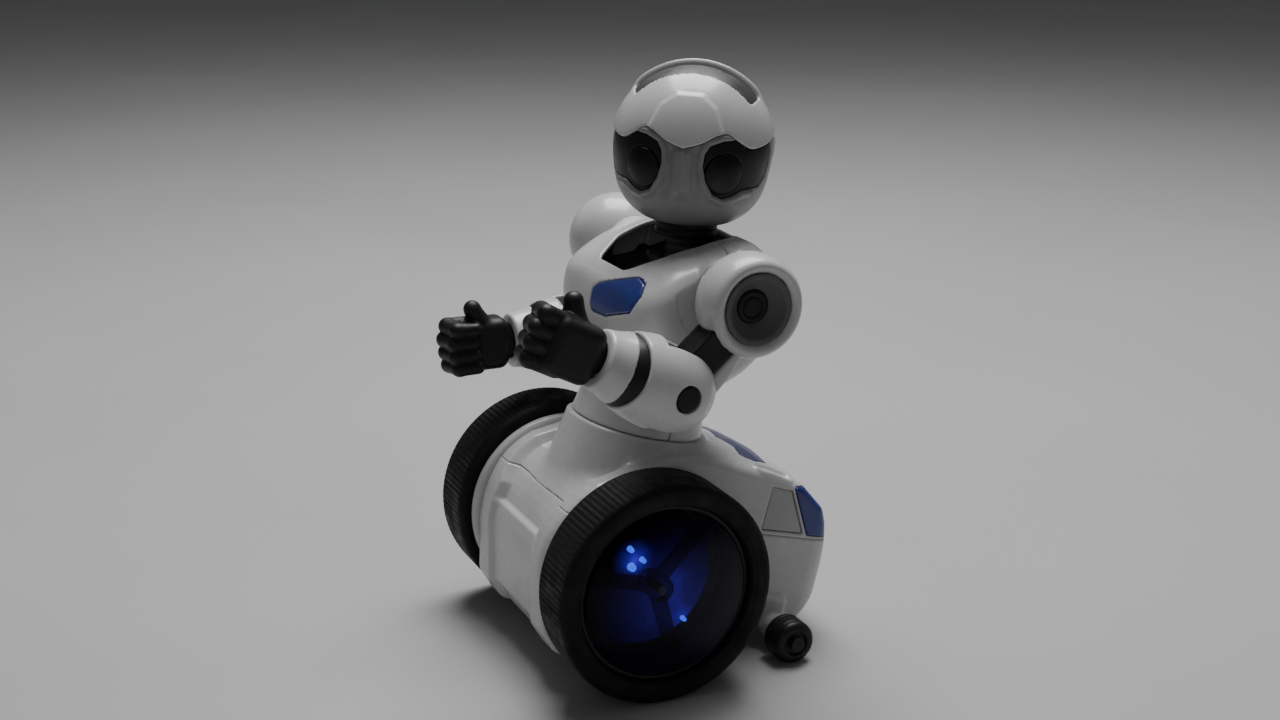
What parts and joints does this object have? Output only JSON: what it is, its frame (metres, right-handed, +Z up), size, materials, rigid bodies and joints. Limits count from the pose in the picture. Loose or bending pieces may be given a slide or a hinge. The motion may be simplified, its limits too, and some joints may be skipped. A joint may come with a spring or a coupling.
{
  "type": "self balancing robot",
  "caption": "Toy humanoid robot that balances on large wheels, shown leaning back on small casters, with turning head, swinging arms and sliding power switch.",
  "frame": {"origin": "on the floor, under the middle of the robot's box, with the axle 18.56 mm ahead of it", "axes": "+X is the robot's left, -Y its front, +Z up; the axle is along X"},
  "size_m": [0.1824, 0.174, 0.277],
  "materials": {
    "white_plastic": "glossy injection-moulded white plastic",
    "grey_plastic": "satin grey plastic",
    "black_plastic": "satin black plastic",
    "blue_plastic": "glossy deep blue plastic",
    "tyre_rubber": "soft black tyre rubber",
    "smoked_plastic": "smoked, slightly translucent plastic",
    "lens_plastic": "black glossy lens plastic",
    "light_plastic": "blue light housings",
    "circuit_board": "green circuit board",
    "steel": "turned steel",
    "battery_wrap": "wrapped steel cell cans",
    "gear_plastic": "natural acetal"
  },
  "bodies": {
    "chassis": {"base_upper_shell": "white_plastic", "base_lower_shell": "white_plastic", "fender_left": "white_plastic", "fender_right": "white_plastic", "deck_panel": "blue_plastic", "tail_panel": "blue_plastic", "side_panels": "grey_plastic", "gearbox_housings": "grey_plastic", "motors": "steel", "light_boards": "circuit_board", "wheel_lights": "light_plastic", "caster_pins": "steel", "battery_cells": "battery_wrap", "battery_box": "black_plastic", "battery_cover": "white_plastic", "control_board": "circuit_board", "speaker": "black_plastic", "torso_front_shell": "white_plastic", "torso_rear_shell": "white_plastic", "chest_panel": "blue_plastic", "collar": "black_plastic", "case_screws": "steel"},
    "switch": {"power_switch": "black_plastic"},
    "head": {"helmet_front": "white_plastic", "helmet_rear": "white_plastic", "helmet_band": "grey_plastic", "face": "white_plastic", "eye_lenses": "lens_plastic", "neck_ring": "black_plastic"},
    "wheel_left": {"tyre_left": "tyre_rubber", "rim_left": "black_plastic", "hub_dome_left": "smoked_plastic", "drive_axle_left": "steel"},
    "idler_left": {"idler_gear_left": "gear_plastic"},
    "pinion_left": {"motor_pinion_left": "steel"},
    "caster_left": {"caster_left": "black_plastic"},
    "upper_arm_left": {"shoulder_ball_left": "white_plastic", "shoulder_hub_left": "black_plastic", "upper_arm_core_left": "black_plastic", "upper_arm_cover_left": "white_plastic"},
    "forearm_left": {"forearm_shell_left": "white_plastic", "elbow_pin_left": "black_plastic", "forearm_band_left": "black_plastic"},
    "hand_left": {"hand_left": "black_plastic"},
    "wheel_right": {"tyre_right": "tyre_rubber", "rim_right": "black_plastic", "hub_dome_right": "smoked_plastic", "drive_axle_right": "steel"},
    "idler_right": {"idler_gear_right": "gear_plastic"},
    "pinion_right": {"motor_pinion_right": "steel"},
    "caster_right": {"caster_right": "black_plastic"},
    "upper_arm_right": {"shoulder_ball_right": "white_plastic", "shoulder_hub_right": "black_plastic", "upper_arm_core_right": "black_plastic", "upper_arm_cover_right": "white_plastic"},
    "forearm_right": {"forearm_shell_right": "white_plastic", "elbow_pin_right": "black_plastic", "forearm_band_right": "black_plastic"},
    "hand_right": {"hand_right": "black_plastic"}
  },
  "joints": [
    {"name": "wheel_left_spin", "type": "hinge", "parent": "chassis", "child": "wheel_left", "pos_m": [0, -0.01856, 0.052], "axis": [1, 0, 0], "continuous": true},
    {"name": "idler_left_spin", "type": "hinge", "parent": "chassis", "child": "idler_left", "pos_m": [0, -0.00661, 0.0589], "axis": [1, 0, 0], "continuous": true},
    {"name": "pinion_left_spin", "type": "hinge", "parent": "chassis", "child": "pinion_left", "pos_m": [0, 0.00305, 0.05631], "axis": [1, 0, 0], "continuous": true},
    {"name": "caster_left_spin", "type": "hinge", "parent": "chassis", "child": "caster_left", "pos_m": [0, 0.05247, 0.0103], "axis": [1, 0, 0], "continuous": true},
    {"name": "shoulder_left", "type": "hinge", "parent": "chassis", "child": "upper_arm_left", "pos_m": [0.0707, 0.02336, 0.17908], "axis": [1, 0, 0], "range_deg": [-110, 30]},
    {"name": "elbow_left", "type": "hinge", "parent": "upper_arm_left", "child": "forearm_left", "pos_m": [0.0707, -0.01504, 0.14628], "axis": [-1, 0, 0], "range_deg": [-40, 35]},
    {"name": "wrist_left", "type": "hinge", "parent": "forearm_left", "child": "hand_left", "pos_m": [0.0707, -0.05068, 0.16444], "axis": [0, -0.891, 0.454], "range_deg": [-90, 90]},
    {"name": "wheel_right_spin", "type": "hinge", "parent": "chassis", "child": "wheel_right", "pos_m": [0, -0.01856, 0.052], "axis": [1, 0, 0], "continuous": true},
    {"name": "idler_right_spin", "type": "hinge", "parent": "chassis", "child": "idler_right", "pos_m": [0, -0.00661, 0.0589], "axis": [1, 0, 0], "continuous": true},
    {"name": "pinion_right_spin", "type": "hinge", "parent": "chassis", "child": "pinion_right", "pos_m": [0, 0.00305, 0.05631], "axis": [1, 0, 0], "continuous": true},
    {"name": "caster_right_spin", "type": "hinge", "parent": "chassis", "child": "caster_right", "pos_m": [0, 0.05247, 0.0103], "axis": [1, 0, 0], "continuous": true},
    {"name": "shoulder_right", "type": "hinge", "parent": "chassis", "child": "upper_arm_right", "pos_m": [-0.0707, 0.02336, 0.17908], "axis": [1, 0, 0], "range_deg": [-136.5, 3.5]},
    {"name": "elbow_right", "type": "hinge", "parent": "upper_arm_right", "child": "forearm_right", "pos_m": [-0.0707, 0.00363, 0.13259], "axis": [-1, 0, 0], "range_deg": [-15, 35]},
    {"name": "wrist_right", "type": "hinge", "parent": "forearm_right", "child": "hand_right", "pos_m": [-0.0707, -0.03637, 0.13294], "axis": [0, -1, 0.0087], "range_deg": [-90, 90]},
    {"name": "head_turn", "type": "hinge", "parent": "chassis", "child": "head", "pos_m": [0, 0.03103, 0.23707], "axis": [0, 0.0872, 0.9962], "range_deg": [-131, 19]},
    {"name": "power_slide", "type": "slide", "parent": "chassis", "child": "switch", "axis": [1, 0, 0], "range_m": [0, 0.004]}
  ],
  "couplings": [
    {"joint": "idler_left_spin", "follows": "wheel_left_spin", "ratio": -3.6},
    {"joint": "pinion_left_spin", "follows": "wheel_left_spin", "ratio": 10.8},
    {"joint": "idler_right_spin", "follows": "wheel_right_spin", "ratio": -3.6},
    {"joint": "pinion_right_spin", "follows": "wheel_right_spin", "ratio": 10.8}
  ]
}
